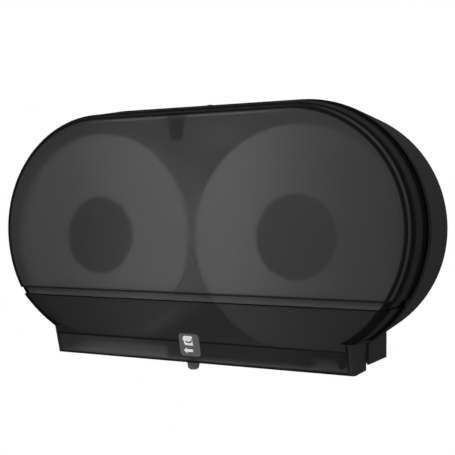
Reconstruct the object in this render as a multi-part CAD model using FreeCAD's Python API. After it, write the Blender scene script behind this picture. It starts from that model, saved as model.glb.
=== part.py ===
import FreeCAD, Part
import math
import os

# Twin jumbo toilet roll dispenser for a wall, in millimetres.
# X runs to the right, Y into the wall and Z up. The origin is on the wall plane,
# at the centre of the pattern of the wall screws.

os.makedirs("parts", exist_ok=True)

# Paper rolls
roll_radius = 114.3
roll_width = 89.0
roll_gap = 4.5
roll_drop = 7.6
core_bore = 42.9
core_thickness = 1.3

# Room that the housing leaves round the rolls: at the front, at the parting line, at the wall
front_side_room = 7.2
rear_side_room = 10.4
wall_side_room = 14.2
front_top_room = 12.8
rear_top_room = 22.8
wall_top_room = 18.9
front_low_room = 20.2
rear_low_room = 24.6
wall_low_room = 13.4
front_chute_reach = 61.0
rear_chute_reach = 61.4
wall_chute_reach = 62.7
cover_foot_room = 22.3
ledge_foot_room = 16.3
wall_foot_room = 19.1
panel_room = 1.2
cover_depth = 57.0
parting_gap = 0.3
overrun = 5.0

# Cover mouldings
cover_wall = 2.5
edge_round = 5.0
edge_flat = 1.0
groove_top = 68.9
groove_height = 7.6
groove_depth = 4.5
groove_side_depth = 1.6
panel_lean = math.radians(15.6)
apron_height = 22.7
crease_step = 0.6
hem_depth = 5.6
hem_thickness = 2.2
stiffener_thickness = 1.6
stiffener_height = 2.4

# Badge in its pocket on the lower panel
badge_width = 24.6
badge_height = 26.2
badge_corner = 4.0
badge_thickness = 0.8
badge_x = -2.0
badge_rise = 19.8
badge_gap = 0.4
pocket_depth = 1.4

# Rear shell
base_wall = 2.2
back_thickness = 3.0
swing_clearance = 0.5
swing_room = 2.1
floor_thickness = 2.5
flange_thickness = 2.5
rim_gap = 0.8
rim_thickness = 2.2
rim_reach = 17.0
rib_height = 5.0
rib_thickness = 2.0
rib_pitch = 50.0
tooth_pitch = 6.0
tooth_height = 2.6
tooth_margin = 8.0

# Wall screws
screw_spacing_x = 355.6
screw_spacing_z = 127.0
wall_hole_radius = 3.25
wall_boss_radius = 9.0
wall_boss_height = 3.0

# Screws
screw_radius = 2.0
screw_head_radius = 3.9
screw_head_height = 2.0
screw_hole_gap = 0.05
screw_bite = 5.0
driver_radius = 1.4
driver_depth = 1.2

# Hubs and spindles
spindle_radius = 9.0
spindle_boss_height = 6.0
spindle_boss_lip = 3.0
spindle_flange_thickness = 4.0
spindle_flange_lip = 2.6
spindle_screw_room = 0.6
spindle_screw_count = 3
spindle_bore_depth = 15.0
retaining_bite = 10.0
washer_lap = 2.0
washer_thickness = 1.5
bearing_gap = 0.06
hub_gap = 0.3
hub_wall = 2.0
hub_disc = 2.5
hub_tube_wall = 3.4
hub_web_count = 6
hub_flange_reach = 7.8
hub_flange_thickness = 2.5
hub_rear_room = 4.0
well_gap = 1.6
well_depth = 5.4
end_play = 0.4

# Hinge of the cover
hinge_pin_radius = 2.5
hinge_pin_head_radius = 3.8
hinge_pin_head = 1.5
pin_gap = 0.05
hinge_barrel_radius = 4.2
hinge_side_room = 17.2
block_width = 20.0
block_reach = 7.0
block_height = 12.2
ear_gap = 1.0
ear_thickness = 3.5

# Shutter under the rolls
shutter_travel = 100.0
shutter_right_room = 13.0
shutter_left_room = 5.0
shutter_hem_gap = 4.1
shutter_thickness = 2.0
shutter_overlap = 4.0
shutter_rise = 3.0
shutter_height = 13.8
shutter_gap = 0.4
rail_thickness = 1.8
rail_lip = 3.2
rail_end_room = 13.0
knob_x = -8.4
knob_inset = 6.4
knob_neck_radius = 5.0
knob_drop = 0.7
knob_top_radius = 7.4
knob_bottom_radius = 5.6
knob_length = 9.0
knob_round = 1.4
knob_block_width = 46.0
knob_block_x = -11.0
knob_block_height = 7.4
knob_block_depth = 11.0

# Latch of the cover
pivot_inset = 27.0
pivot_drop = 18.1
latch_pin_radius = 2.5
latch_pin_overhang = 1.5
knuckle_wall = 2.45
lever_left = -37.0
lever_right = 4.0
lever_thickness = 2.5
lever_knuckle_length = 12.0
nib_thickness = 4.0
nib_height = 6.5
tongue_drop = 24.0
tongue_left = -35.0
tongue_right = -15.5
tongue_taper = 4.5
catch_gap = 0.7
catch_thickness = 3.0
catch_overlap = 4.0
catch_width = 20.0
catch_centre = -26.0
catch_rim_gap = 2.8

# Bracket of the latch
bracket_thickness = 2.0
bracket_pad = 5.0
bracket_left = -46.0
bracket_right = 14.0
bracket_fall = 23.0
bracket_rise = 9.0
bracket_arm_height = 14.0
bracket_screw_drop = 16.0
bracket_screw_spacing = 30.0

# Spring of the latch
spring_wire_radius = 0.6
spring_pin_gap = 0.9
spring_turns = 2
spring_pitch = 1.7
spring_left = -10.5
spring_leg = 10.0

# Release button
button_x = -3.0
button_inset = 8.0
button_radius = 4.3
button_gap = 0.3
button_proud = 1.8
button_body_length = 15.0
button_stem_radius = 2.5
button_round = 1.0
clip_groove = 0.8
clip_overhang = 0.8
clip_thickness = 1.0
slot_left = -22.0
slot_width = 12.0
slot_height = 1.6

# Places worked out from the sizes above
panel_slope = math.tan(panel_lean)
groove_bottom = groove_top + groove_height
roll_half_spacing = roll_radius + roll_gap
roll_bottom = roll_drop + roll_radius
roll_setback = ((roll_bottom - groove_bottom) * panel_slope
                + cover_wall / math.cos(panel_lean) + panel_room)
spindle_foot = back_thickness + spindle_boss_height + spindle_flange_thickness
depth = (roll_setback + roll_width + hub_flange_thickness + hub_rear_room
         + spindle_flange_thickness + spindle_foot)
front_y = -depth
face_y = front_y + edge_round + edge_flat
parting_y = front_y + cover_depth
cover_rear_y = parting_y - parting_gap
back_y = -back_thickness
roll_front_y = front_y + roll_setback
roll_rear_y = roll_front_y + roll_width
base_step = base_wall + swing_clearance
side_reach = roll_half_spacing + roll_radius
front_reach = side_reach + front_side_room
rear_reach = side_reach + rear_side_room
wall_reach = side_reach + wall_side_room
front_top_radius = roll_radius + front_top_room
rear_top_radius = roll_radius + rear_top_room
wall_top_radius = roll_radius + wall_top_room
front_low_radius = roll_radius + front_low_room
rear_low_radius = roll_radius + rear_low_room
wall_low_radius = roll_radius + wall_low_room
front_chute = roll_half_spacing + front_chute_reach
rear_chute = roll_half_spacing + rear_chute_reach
wall_chute = roll_half_spacing + wall_chute_reach
chute_drop = roll_bottom + cover_foot_room
base_front_drop = roll_bottom + ledge_foot_room
wall_drop = roll_bottom + wall_foot_room
widest = wall_reach + rear_reach
crease_drop = chute_drop - apron_height
panel_foot_y = front_y + (chute_drop - groove_bottom) * panel_slope
badge_drop = chute_drop - badge_rise
shutter_y = panel_foot_y + hem_depth + shutter_hem_gap
shutter_bottom = shutter_rise - chute_drop
shutter_top = shutter_bottom + shutter_height
knob_y = shutter_y + knob_inset
hinge_y = parting_y
hinge_z = hinge_barrel_radius - base_front_drop
floor_setback = chute_drop + hinge_z + swing_room
block_outer = rear_chute - hinge_side_room
block_inner = block_outer - block_width
pivot_y = parting_y + pivot_inset
pivot_height = rear_top_radius - pivot_drop
lever_knuckle_radius = latch_pin_radius + pin_gap + knuckle_wall
nib_y = parting_y - rim_reach - catch_rim_gap - catch_thickness - catch_gap - nib_thickness
bracket_bottom = pivot_height - bracket_fall
bracket_top = pivot_height + bracket_rise
spring_radius = latch_pin_radius + spring_pin_gap + spring_wire_radius
button_y = parting_y + button_inset
clip_radius = button_radius + clip_overhang
spindle_screw_circle = (spindle_radius + spindle_flange_thickness + screw_head_radius
                        + spindle_screw_room)
spindle_flange_radius = spindle_screw_circle + screw_head_radius + spindle_flange_lip
spindle_boss_radius = spindle_flange_radius + spindle_boss_lip
washer_radius = spindle_radius + washer_lap
well_radius = washer_radius + well_gap
hub_flange_radius = core_bore + core_thickness + hub_flange_reach

# Outlines: reach at the sides, radii above and below, half width and drop of the chute
front_shape = (front_reach, front_top_radius, front_low_radius, front_chute, chute_drop)
rear_shape = (rear_reach, rear_top_radius, rear_low_radius, rear_chute, chute_drop)
ledge_shape = (rear_reach + base_step, rear_top_radius, rear_low_radius,
               rear_chute + base_step, base_front_drop)
wall_shape = (wall_reach, wall_top_radius, wall_low_radius, wall_chute, wall_drop)
rim_y = parting_y - rim_reach
rim_inset = cover_wall + rim_gap + rim_thickness


def at(x, y, z):
    return FreeCAD.Vector(x, y, z)


x_axis = at(1, 0, 0)
y_axis = at(0, 1, 0)
z_axis = at(0, 0, 1)


def box(x0, x1, y0, y1, z0, z1):
    """A box from its least to its greatest corner."""
    return Part.makeBox(x1 - x0, y1 - y0, z1 - z0, at(x0, y0, z0))


def rod_x(radius, x0, x1, y, z):
    return Part.makeCylinder(radius, x1 - x0, at(x0, y, z), x_axis)


def rod_y(radius, y0, y1, x, z):
    return Part.makeCylinder(radius, y1 - y0, at(x, y0, z), y_axis)


def rod_z(radius, z0, z1, x, y):
    return Part.makeCylinder(radius, z1 - z0, at(x, y, z0), z_axis)


def prism(points, direction):
    """The solid that a closed outline of points sweeps along a direction."""
    return Part.Face(Part.makePolygon(points + points[:1])).extrude(direction)


def side_profile(points, x0, x1):
    """A solid with a (y, z) outline between two places along X."""
    return prism([at(x0, y, z) for y, z in points], at(x1 - x0, 0, 0))


def mirrored(shape):
    return shape.mirror(at(0, 0, 0), x_axis)


def outline(y, shape, inset, extra_drop):
    """Two round ends joined by a straight top, with the chute between them below."""
    reach, top_radius, low_radius, chute, drop = shape
    top_centre = reach - top_radius
    low_centre = reach - low_radius
    top_radius = top_radius - inset
    low_radius = low_radius - inset
    chute = chute - inset
    foot = -drop - extra_drop
    corner = math.acos((chute - low_centre) / low_radius)

    def on_top(side, turn):
        return at(side * (top_centre + top_radius * math.cos(turn)), y, top_radius * math.sin(turn))

    def on_low(side, turn):
        return at(side * (low_centre + low_radius * math.cos(turn)), y, -low_radius * math.sin(turn))

    def arc(place, side, turns):
        return Part.Arc(*[place(side, turn) for turn in turns]).toShape()

    upper = (math.pi / 2, math.pi / 4, 0)
    lower = (0, corner / 2, corner)
    right_foot = at(chute, y, foot)
    left_foot = at(-chute, y, foot)
    edges = [
        Part.LineSegment(on_top(-1, upper[0]), on_top(1, upper[0])).toShape(),
        arc(on_top, 1, upper),
        arc(on_low, 1, lower),
        Part.LineSegment(on_low(1, corner), right_foot).toShape(),
        Part.LineSegment(right_foot, left_foot).toShape(),
        Part.LineSegment(left_foot, on_low(-1, corner)).toShape(),
        arc(on_low, -1, lower[::-1]),
        arc(on_top, -1, upper[::-1]),
    ]
    return Part.Wire(edges)


def shape_at(y, y0, shape0, y1, shape1):
    """The outline's sizes at a depth, along the straight taper between two outlines."""
    share = (y - y0) / (y1 - y0)
    return [a + (b - a) * share for a, b in zip(shape0, shape1)]


def cover_shape(y):
    return shape_at(y, face_y, front_shape, parting_y, rear_shape)


def base_shape(y):
    return shape_at(y, parting_y, ledge_shape, 0, wall_shape)


rim_shape = cover_shape(rim_y)


def loft(shape_of, y0, y1, inset, extra_drop=0):
    """A tapering body between two depths, drawn in by an even inset."""
    ends = [outline(y, shape_of(y), inset, extra_drop) for y in (y0, y1)]
    return Part.makeLoft(ends, True, True)


def straight(shape, y0, y1, inset, extra_drop=0):
    """A body with the same outline from one depth to another."""
    face = Part.Face(outline(y0, shape, inset, extra_drop))
    return face.extrude(at(0, y1 - y0, 0))


def cover_loft(y0, y1, inset, extra_drop=0):
    """The cover's form: straight behind its face, then tapering out to the rear."""
    body = loft(cover_shape, max(y0, face_y), y1, inset, extra_drop)
    if y0 < face_y:
        body = body.fuse(straight(front_shape, y0, face_y, inset, extra_drop))
    return body


def base_loft(y0, y1, inset, extra_drop=0):
    return loft(base_shape, y0, y1, inset, extra_drop)


def base_top(y):
    """Height of the top wall's outside at a depth."""
    return base_shape(y)[1]


def floor_top(y):
    """Height of the chute floor's inside at a depth."""
    return floor_thickness - base_shape(y)[4]


def panel_y(drop, inset=0):
    """Where the sloping lower panel lies at a distance below the middle."""
    return front_y + (drop - groove_bottom) * panel_slope + inset / math.cos(panel_lean)


def panel_wedge(inset):
    """All that lies in front of the sloping lower panel."""
    reach = front_y - overrun
    low = chute_drop + overrun
    points = [
        (panel_y(groove_bottom, inset), -groove_bottom),
        (panel_y(low, inset), -low),
        (reach, -low),
        (reach, -groove_bottom),
    ]
    return side_profile(points, -widest, widest)


def front_edges(shape):
    """The edges that bound the front face and the sloping panel at the sides."""
    found = []
    for edge in shape.Edges:
        bounds = edge.BoundBox
        on_face = bounds.YMax < front_y + parting_gap
        across = bounds.ZLength < parting_gap and bounds.ZMax < 0
        middle = edge.valueAt((edge.FirstParameter + edge.LastParameter) / 2)
        on_panel = abs(middle.y - panel_y(-middle.z)) < parting_gap and middle.z < -groove_bottom
        if (on_face or on_panel) and not across:
            found.append(edge)
    return found


def groove_band(inset, extra):
    """A band round the front and the sides, down to the floor of the groove."""
    band = box(-widest, widest, front_y - overrun, parting_y + overrun,
               -groove_bottom - extra, -groove_top + extra)
    core = cover_loft(front_y + groove_depth + inset, parting_y + overrun,
                      groove_side_depth + inset)
    return band.cut(core)


def front_cover():
    """Smoke moulding with a rounded face, a groove, a leaning apron and a turned hem."""
    outer = cover_loft(front_y, cover_rear_y, 0).cut(panel_wedge(0))
    outer = outer.makeFillet(edge_round, front_edges(outer))
    outer = outer.cut(groove_band(0, 0))
    hollow = cover_loft(front_y + cover_wall, parting_y + overrun, cover_wall, overrun)
    hollow = hollow.cut(panel_wedge(cover_wall))
    hollow = hollow.cut(groove_band(cover_wall, cover_wall))
    shell = outer.cut(hollow).cut(apron_step())
    inner = [pocket_backing(), hem(), catch_rib(), shutter_rail()]
    for piece in inner + hinge_ears() + stiffeners():
        shell = shell.fuse(piece)
    return sections(shell.cut(badge_pocket(0)).removeSplitter())


def sections(shell):
    """The cover in sections that meet at the middles of the rolls and just below them."""
    across = (-widest, -roll_half_spacing, roll_half_spacing, widest)
    upward = (-chute_drop - overrun, -roll_bottom, -roll_drop, rear_top_radius + overrun)
    pieces = []
    for z0, z1 in zip(upward, upward[1:]):
        for x0, x1 in zip(across, across[1:]):
            cell = box(x0, x1, front_y - overrun, parting_y + overrun, z0, z1)
            pieces.extend(shell.common(cell).Solids)
    return Part.makeCompound(pieces)


def apron_step():
    """What the apron below the crease is set back by."""
    low = chute_drop + overrun
    points = [
        (panel_y(crease_drop, crease_step), -crease_drop),
        (panel_y(low, crease_step), -low),
        (front_y - overrun, -low),
        (front_y - overrun, -crease_drop),
    ]
    return side_profile(points, -rear_chute, rear_chute)


def inside_cover(shape):
    """A rib cut to the inside of the cover, and sunk half a wall into it to join it."""
    bound = cover_loft(front_y + cover_wall / 2, cover_rear_y, cover_wall / 2)
    return shape.common(bound.cut(panel_wedge(cover_wall / 2)))


def hem():
    """The bottom of the apron, turned in towards the wall."""
    front = panel_y(chute_drop)
    strip = box(-rear_chute, rear_chute, front, front + hem_depth,
                -chute_drop, -chute_drop + hem_thickness)
    bound = cover_loft(front_y, cover_rear_y, cover_wall / 2)
    return strip.common(bound.cut(panel_wedge(cover_wall / 2)))


def catch_rib():
    """The rib that the latch holds, under the top of the cover."""
    front = nib_y + nib_thickness + catch_gap
    nib_top = pivot_height + nib_height
    rib = box(catch_centre - catch_width / 2, catch_centre + catch_width / 2,
              front, front + catch_thickness, nib_top - catch_overlap, rear_top_radius)
    return inside_cover(rib)


def shutter_rail():
    """A rail behind the apron that keeps the top of the shutter upright."""
    top = shutter_top + shutter_gap
    rear = shutter_y + shutter_thickness + shutter_gap + rail_thickness
    end = block_outer - rail_end_room
    shelf = box(-end, end, front_y, rear, top, top + rail_thickness)
    lip = box(-end, end, rear - rail_thickness, rear, top - rail_lip, top + rail_thickness)
    return inside_cover(shelf.fuse(lip))


def ear_profile():
    """A lug from the apron back to the hinge pin, round at its end."""
    low = hinge_z - hinge_barrel_radius
    high = hinge_z + hinge_barrel_radius
    return [(front_y, low), (hinge_y, low), (hinge_y, high), (front_y, high)]


def hinge_ears():
    """Two lugs of the cover that turn on the hinge pins."""
    x0 = block_outer + ear_gap
    x1 = x0 + ear_thickness
    arm = inside_cover(side_profile(ear_profile(), x0, x1))
    ear = arm.fuse(rod_x(hinge_barrel_radius, x0, x1, hinge_y, hinge_z))
    ear = ear.cut(rod_x(hinge_pin_radius + pin_gap, x0 - overrun, x1 + overrun, hinge_y, hinge_z))
    return [ear, mirrored(ear)]


def stiffeners():
    """Low ribs inside the top of the cover, one on each side of the latch."""
    ribs = []
    end = front_reach - front_top_radius
    for x in (-end, -end / 2, end / 2, end):
        strip = box(x - stiffener_thickness / 2, x + stiffener_thickness / 2,
                    front_y, cover_rear_y - rim_reach - overrun, 0, rear_top_radius)
        deep = cover_loft(front_y, cover_rear_y, cover_wall + stiffener_height)
        over = box(-widest, widest, front_y, cover_rear_y, 0, front_top_radius - edge_round)
        ribs.append(inside_cover(strip.cut(deep).cut(over)))
    return ribs


def badge_frame():
    """The middle of the badge on the lower panel, as a placement facing outward."""
    centre = at(badge_x, panel_y(badge_drop), -badge_drop)
    return FreeCAD.Placement(centre, FreeCAD.Rotation(x_axis, math.degrees(math.pi / 2 + panel_lean)))


def badge_block(grow, front, back):
    """A rounded plate along the lower panel, from front to back of its plane."""
    width = badge_width + grow * 2
    height = badge_height + grow * 2
    plate = Part.makeBox(width, height, back + front, at(-width / 2, -height / 2, -back))
    upright = [e for e in plate.Edges if abs(e.tangentAt(e.FirstParameter).z) > math.cos(panel_lean)]
    plate = plate.makeFillet(badge_corner + grow, upright)
    plate.Placement = badge_frame()
    return plate


def badge_pocket(grow):
    return badge_block(badge_gap + grow, overrun, pocket_depth)


def pocket_backing():
    """The wall that closes the pocket from behind."""
    grow = badge_gap + cover_wall / 2
    backing = badge_block(grow, -cover_wall / 2, pocket_depth + cover_wall / 2)
    return backing.cut(badge_pocket(0))


def instruction_badge():
    return badge_block(0, badge_thickness - pocket_depth, pocket_depth)


def rear_shell():
    """Dark tray on the wall: flange, standing rim, chute, bosses, ribs and hinge blocks."""
    tray = base_loft(parting_y, 0, 0).cut(tray_hollow())
    mouth = rear_chute + swing_clearance
    tray = tray.cut(box(-mouth, mouth, parting_y - overrun, parting_y + floor_setback,
                        -wall_drop - overrun, floor_top(parting_y) + parting_gap))
    for piece in [standing_rim(), tear_teeth()] + back_ribs() + bosses() + hinge_blocks():
        tray = tray.fuse(piece)
    for hole in wall_holes() + spindle_holes() + bracket_holes():
        tray = tray.cut(hole)
    top = base_top(parting_y)
    tray = tray.cut(rod_z(button_radius + button_gap, pivot_height, top + overrun,
                          button_x, button_y))
    tray = tray.cut(box(slot_left, slot_left + slot_width, parting_y - overrun,
                        parting_y + flange_thickness + overrun, top - slot_height, top + overrun))
    return tray.removeSplitter()


def rim_stop():
    """Height where the rim and the flange end, above the chute."""
    reach, top_radius, low_radius, chute, drop = rim_shape
    corner = math.acos((chute - reach + low_radius) / low_radius)
    return -(low_radius - rim_inset) * math.sin(corner)


def tray_hollow():
    """The inside of the tray, less the flange that reaches inward behind the cover."""
    flange_rear = parting_y + flange_thickness
    hollow = base_loft(parting_y - overrun, back_y, base_wall, -floor_thickness)
    hollow = hollow.cut(box(-widest, widest, parting_y - overrun, flange_rear, rim_stop(), widest))
    bore_inset = rim_inset - rim_thickness / 2
    return hollow.fuse(straight(rim_shape, parting_y - overrun, flange_rear, bore_inset, overrun))


def standing_rim():
    """The rim that stands up from the flange, inside the cover."""
    flange_rear = parting_y + flange_thickness
    rim = straight(rim_shape, rim_y, flange_rear, rim_inset - rim_thickness)
    rim = rim.cut(straight(rim_shape, rim_y - overrun, flange_rear + overrun, rim_inset, overrun))
    room = cover_wall + rim_gap
    rim = rim.cut(box(-widest, widest, rim_y - overrun, parting_y,
                      -groove_bottom - room, -groove_top + room))
    return rim.cut(box(-widest, widest, rim_y - overrun, flange_rear + overrun,
                       -wall_drop - overrun, rim_stop()))


def back_ribs():
    """Upright and level ribs on the back plate."""
    y1 = back_y - rib_height
    top = base_top(y1) - base_wall / 2
    ribs = []
    count = int((wall_reach - wall_top_radius) / rib_pitch)
    for step in range(-count, count + 1):
        x = step * rib_pitch
        ribs.append(box(x - rib_thickness / 2, x + rib_thickness / 2, y1, back_y, floor_top(y1), top))
    for z in (-screw_spacing_z / 2, screw_spacing_z / 2):
        ribs.append(box(-screw_spacing_x / 2, screw_spacing_x / 2, y1, back_y,
                        z - rib_thickness / 2, z + rib_thickness / 2))
    return ribs


def wall_places():
    half_x = screw_spacing_x / 2
    half_z = screw_spacing_z / 2
    return [(x, z) for x in (-half_x, half_x) for z in (-half_z, half_z)]


def bosses():
    """Raised seats for the wall screws, the spindles and the bracket."""
    seats = [rod_y(wall_boss_radius, back_y - wall_boss_height, back_y, x, z)
             for x, z in wall_places()]
    for side in (-1, 1):
        seats.append(rod_y(spindle_boss_radius, back_y - spindle_boss_height, back_y,
                           side * roll_half_spacing, -roll_drop))
    seats.append(box(bracket_left, bracket_right, back_y - bracket_pad, back_y,
                     bracket_bottom, bracket_top))
    return seats


def wall_holes():
    return [rod_y(wall_hole_radius, back_y - wall_boss_height - overrun, overrun, x, z)
            for x, z in wall_places()]


def hinge_blocks():
    """Two blocks on the chute floor that carry the hinge pins."""
    rear = parting_y + floor_setback + overrun
    front = hinge_y - block_reach
    bottom = hinge_z - hinge_barrel_radius
    top = bottom + block_height
    points = [(front, bottom), (rear, bottom), (rear, top), (front, top)]
    block = side_profile(points, block_inner, block_outer)
    block = block.cut(rod_x(hinge_pin_radius + pin_gap, block_inner - overrun,
                            block_outer + overrun, hinge_y, hinge_z))
    return [block, mirrored(block)]


def tear_teeth():
    """A saw edge along the front of the chute floor, below each roll."""
    y0 = parting_y + floor_setback
    top = floor_top(y0)
    first = knob_block_width / 2 + tooth_margin
    count = int((block_inner - tooth_margin - first) / tooth_pitch)
    points = [at(first, y0 + tooth_height, top)]
    for step in range(count):
        points.append(at(first + step * tooth_pitch, y0, top))
        points.append(at(first + (step + 0.5) * tooth_pitch, y0 - tooth_height, top))
    points.append(at(first + count * tooth_pitch, y0, top))
    points.append(at(first + count * tooth_pitch, y0 + tooth_height, top))
    saw = prism(points, at(0, 0, -floor_thickness))
    return saw.fuse(mirrored(saw))


def hinge_pins():
    x0 = block_inner
    x1 = block_outer + ear_gap + ear_thickness + parting_gap
    pin = rod_x(hinge_pin_radius, x0, x1, hinge_y, hinge_z)
    head = rod_x(hinge_pin_head_radius, x1, x1 + hinge_pin_head, hinge_y, hinge_z)
    tail = rod_x(hinge_pin_head_radius, x0 - hinge_pin_head, x0, hinge_y, hinge_z)
    pin = pin.fuse([head, tail]).removeSplitter()
    return Part.makeCompound([pin, mirrored(pin)])


def turned_y(profile):
    """A solid turned about the Y axis from a (radius, y) profile."""
    face = Part.Face(Part.makePolygon([at(r, y, 0) for r, y in profile + profile[:1]]))
    return face.revolve(at(0, 0, 0), y_axis, 360)


def screw_hole(bite):
    return rod_y(screw_radius + screw_hole_gap, -overrun, bite + screw_hole_gap, 0, 0)


def screw(bite):
    """A pan-head screw that points along +Y, with its head's seat at y = 0."""
    crown = screw_head_radius - screw_head_height / 2
    profile = [(0, bite), (screw_radius, bite), (screw_radius, 0), (screw_head_radius, 0),
               (screw_head_radius, -screw_head_height / 2), (crown, -screw_head_height),
               (0, -screw_head_height)]
    body = turned_y(profile)
    corners = [at(driver_radius * math.cos(turn * math.pi / 3), -screw_head_height - overrun,
                  driver_radius * math.sin(turn * math.pi / 3)) for turn in range(6)]
    return body.cut(prism(corners, at(0, overrun + driver_depth, 0)))


def moved(shape, x, y, z):
    copy = shape.copy()
    copy.translate(at(x, y, z))
    return copy


spindle_seat_y = back_y - spindle_boss_height
spindle_flange_y = spindle_seat_y - spindle_flange_thickness
spindle_end_y = roll_front_y + well_depth - end_play


def spindle_screw_places(side):
    """Places round one spindle, the first one straight up."""
    places = []
    for step in range(spindle_screw_count):
        turn = math.pi / 2 + 2 * math.pi * step / spindle_screw_count
        places.append((side * roll_half_spacing + spindle_screw_circle * math.cos(turn),
                       -roll_drop + spindle_screw_circle * math.sin(turn)))
    return places


def spindle(side):
    """A hollow-ended post on a round foot, which carries one hub."""
    x = side * roll_half_spacing
    z = -roll_drop
    post = rod_y(spindle_radius, spindle_end_y, spindle_seat_y, x, z)
    foot = rod_y(spindle_flange_radius, spindle_flange_y, spindle_seat_y, x, z)
    root = Part.makeCone(spindle_radius, spindle_radius + spindle_flange_thickness,
                         spindle_flange_thickness,
                         at(x, spindle_flange_y - spindle_flange_thickness, z), y_axis)
    body = post.fuse([foot, root])
    for place in spindle_screw_places(side):
        body = body.cut(moved(screw_hole(screw_bite + spindle_flange_thickness),
                              place[0], spindle_flange_y, place[1]))
    body = body.cut(rod_y(screw_radius + screw_hole_gap, spindle_end_y - overrun,
                          spindle_end_y + spindle_bore_depth, x, z))
    return body.removeSplitter()


def spindle_screws():
    one = screw(screw_bite + spindle_flange_thickness)
    places = spindle_screw_places(-1) + spindle_screw_places(1)
    return Part.makeCompound([moved(one, x, spindle_flange_y, z) for x, z in places])


def spindle_holes():
    hole = screw_hole(screw_bite + spindle_flange_thickness)
    places = spindle_screw_places(-1) + spindle_screw_places(1)
    return [moved(hole, x, spindle_flange_y, z) for x, z in places]


def retaining_washers():
    rings = []
    for side in (-1, 1):
        x = side * roll_half_spacing
        ring = rod_y(washer_radius, spindle_end_y - washer_thickness, spindle_end_y, x, -roll_drop)
        bore = rod_y(screw_radius + screw_hole_gap, spindle_end_y - overrun,
                     spindle_end_y + overrun, x, -roll_drop)
        rings.append(ring.cut(bore))
    return Part.makeCompound(rings)


def retaining_screws():
    one = screw(retaining_bite)
    seat = spindle_end_y - washer_thickness
    return Part.makeCompound([moved(one, side * roll_half_spacing, seat, -roll_drop)
                              for side in (-1, 1)])


hub_outer = core_bore - hub_gap
hub_rear_y = roll_rear_y + hub_flange_thickness
hub_bore = spindle_radius + bearing_gap
hub_tube_outer = hub_bore + hub_tube_wall


def ring_y(outer, inner, y0, y1):
    return rod_y(outer, y0, y1, 0, 0).cut(rod_y(inner, y0 - overrun, y1 + overrun, 0, 0))


def hub(side):
    """A drum with a sunk well in its front disc, a bearing tube, webs and a rear flange."""
    well_floor = roll_front_y + well_depth
    disc = ring_y(hub_outer, well_radius, roll_front_y, roll_front_y + hub_disc)
    drum = ring_y(hub_outer, hub_outer - hub_wall, roll_front_y, hub_rear_y)
    well = ring_y(well_radius + hub_wall, well_radius, roll_front_y, well_floor + hub_wall)
    floor = ring_y(well_radius + hub_wall, hub_bore, well_floor, well_floor + hub_wall)
    tube = ring_y(hub_tube_outer, hub_bore, well_floor, hub_rear_y)
    flange = ring_y(hub_flange_radius, hub_outer - hub_wall, roll_rear_y, hub_rear_y)
    body = drum.fuse([disc, well, floor, tube, flange])
    reach = hub_outer - hub_wall / 2
    for step in range(hub_web_count):
        web = box(hub_tube_outer - hub_wall / 2, reach, roll_front_y + hub_disc / 2, hub_rear_y,
                  -hub_wall / 2, hub_wall / 2)
        web.rotate(at(0, 0, 0), y_axis, 360 * step / hub_web_count)
        body = body.fuse(web)
    body = body.cut(rod_y(well_radius, roll_front_y - overrun, well_floor, 0, 0))
    return moved(body.removeSplitter(), side * roll_half_spacing, 0, -roll_drop)


def core(side):
    tube = ring_y(core_bore + core_thickness, core_bore, roll_front_y, roll_rear_y)
    return moved(tube, side * roll_half_spacing, 0, -roll_drop)


def paper(side):
    body = ring_y(roll_radius, core_bore + core_thickness, roll_front_y, roll_rear_y)
    return moved(body, side * roll_half_spacing, 0, -roll_drop)


def shutter():
    """An angle plate that slides under one roll, with a block for its knob."""
    x0 = shutter_travel + shutter_left_room - block_inner
    x1 = block_inner - shutter_right_room
    upright = box(x0, x1, shutter_y, shutter_y + shutter_thickness, shutter_bottom, shutter_top)
    leg = box(x0, x1, shutter_y, parting_y + shutter_overlap,
              shutter_bottom, shutter_bottom + shutter_thickness)
    left = knob_block_x - knob_block_width / 2
    block = box(left, left + knob_block_width, shutter_y, shutter_y + knob_block_depth,
                shutter_bottom, shutter_bottom + knob_block_height)
    body = upright.fuse([leg, block])
    hole = rod_z(screw_radius + screw_hole_gap, shutter_bottom - overrun,
                 shutter_bottom + knob_block_height + overrun, knob_x, knob_y)
    return body.cut(hole).removeSplitter()


def shutter_knob():
    """A tapered round grip below the hem, on a neck that passes behind the hem."""
    top = -chute_drop - knob_drop
    low = top - knob_length
    hole = screw_radius + screw_hole_gap
    floor = shutter_bottom - screw_bite
    share = knob_round / knob_length
    side = knob_bottom_radius + (knob_top_radius - knob_bottom_radius) * share
    profile = [(0, low), (knob_bottom_radius - knob_round, low), (side, low + knob_round),
               (knob_top_radius, top), (knob_neck_radius, top), (knob_neck_radius, shutter_bottom),
               (hole, shutter_bottom), (hole, floor), (0, floor)]
    return turned_z(profile, knob_x, knob_y)


def knob_screw():
    seat = shutter_bottom + knob_block_height
    one = screw(knob_block_height + screw_bite - screw_hole_gap)
    one.rotate(at(0, 0, 0), x_axis, -math.degrees(math.pi / 2))
    return moved(one, knob_x, knob_y, seat)


def lever_under():
    return pivot_height - lever_thickness / 2


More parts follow.
